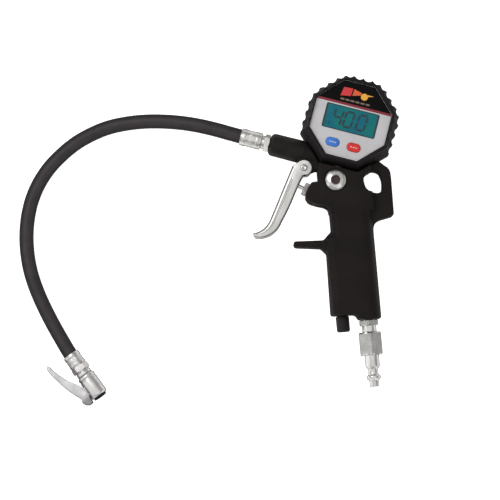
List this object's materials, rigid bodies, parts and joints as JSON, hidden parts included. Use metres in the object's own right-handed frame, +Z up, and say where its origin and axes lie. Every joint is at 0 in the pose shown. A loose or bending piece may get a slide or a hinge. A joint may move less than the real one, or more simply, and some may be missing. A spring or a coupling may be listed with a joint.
{
  "type": "tyre inflator",
  "caption": "Pistol-grip tyre inflator: round rubber-booted digital gauge, alloy trigger, air plug under the grip and a short rubber hose with a clip-on chuck.",
  "frame": {"origin": "on the table under the middle of the tool without its hose and chuck, which lies on its back with the gauge facing up", "axes": "+Z up out of the gauge face; -Y along the grip to the air plug; +X away from the trigger"},
  "size_m": [0.3134, 0.2523, 0.0345],
  "materials": {
    "body_plastic": "satin moulded nylon, fine spark texture",
    "boot_rubber": "satin moulded rubber",
    "hose_rubber": "smooth, slightly glossy black rubber",
    "seal_rubber": "moulded seal rubber",
    "sleeve_rubber": "satin rubber sleeve",
    "cast_alloy": "die cast, tumbled",
    "block_alloy": "machined, bead blasted",
    "plated_steel": "bright nickel plate",
    "turned_steel": "turned, zinc plated",
    "dark_steel": "dark oxide",
    "spring_steel": "drawn wire",
    "brass": "machined brass",
    "case_plastic": "moulded ABS",
    "cover_plastic": "moulded ABS",
    "panel": "printed pale grey face",
    "display": "teal liquid crystal display",
    "window": "clear acrylic",
    "blue_key": "blue key",
    "red_key": "red key",
    "board": "solder-masked circuit board",
    "switch": "small switch body",
    "sensor": "pressed steel can",
    "cell": "wrapped dry cell"
  },
  "bodies": {
    "gun": {"grip_front_shell": "body_plastic", "grip_rear_shell": "body_plastic", "shell_screws": "dark_steel", "valve_block": "block_alloy", "inlet_tube": "brass", "transfer_tube": "brass", "exhaust_tube": "case_plastic", "exhaust_silencer": "body_plastic", "block_plug": "plated_steel", "block_plug_washer": "seal_rubber", "gland_nut": "dark_steel", "gland_seal": "seal_rubber", "valve_spring": "spring_steel", "spring_seat": "block_alloy", "pivot_pin": "turned_steel", "pivot_clip": "dark_steel", "outlet_tube": "brass", "arm_sleeve": "sleeve_rubber", "hose_fitting": "plated_steel", "inlet_nipple": "plated_steel", "air_plug": "plated_steel", "gauge_boot": "boot_rubber", "gauge_case": "case_plastic", "gauge_stem": "brass", "stem_seal": "seal_rubber", "pressure_sensor": "sensor", "circuit_board": "board", "button_switches": "switch", "display_module": "display", "display_window": "window", "face_panel": "panel", "batteries": "cell", "battery_contacts": "brass", "battery_cover": "cover_plastic", "cover_screws": "dark_steel", "hose": "hose_rubber", "gun_ferrule": "plated_steel", "chuck_ferrule": "plated_steel", "chuck_adapter": "plated_steel", "chuck_body": "plated_steel", "chuck_washer": "seal_rubber", "chuck_depressor": "brass", "clip_pin": "turned_steel", "clip_spring": "spring_steel"},
    "trigger": {"trigger_lever": "cast_alloy"},
    "valve": {"valve_stem": "turned_steel", "valve_poppet": "seal_rubber"},
    "key_blue": {"blue_button": "blue_key"},
    "key_red": {"red_button": "red_key"},
    "clip": {"clip_lever": "turned_steel"}
  },
  "joints": [
    {"name": "trigger_pull", "type": "hinge", "parent": "gun", "child": "trigger", "pos_m": [-0.0182, 0.0528, 0.014], "axis": [0, 0, 1], "range_deg": [0, 15], "stiffness_Nm_per_rad": 0.15, "springref_deg": -6.88},
    {"name": "valve_slide", "type": "slide", "parent": "gun", "child": "valve", "axis": [0.866, -0.5, 0], "range_m": [0, 0.004], "deforming": ["valve_spring"]},
    {"name": "blue_press", "type": "slide", "parent": "gun", "child": "key_blue", "axis": [0, 0, -1], "range_m": [0, 0.0006], "stiffness_N_per_m": 400, "springref_m": -0.0002},
    {"name": "red_press", "type": "slide", "parent": "gun", "child": "key_red", "axis": [0, 0, -1], "range_m": [0, 0.0006], "stiffness_N_per_m": 400, "springref_m": -0.0002},
    {"name": "clip_open", "type": "hinge", "parent": "gun", "child": "clip", "pos_m": [-0.20847, -0.11124, 0.00866], "axis": [0.0225, -0.0374, -0.999], "range_deg": [0, 10], "stiffness_Nm_per_rad": 0.08, "springref_deg": -8.59}
  ],
  "couplings": [
    {"joint": "valve_slide", "follows": "trigger_pull", "m_per_rad": 0.0151}
  ]
}
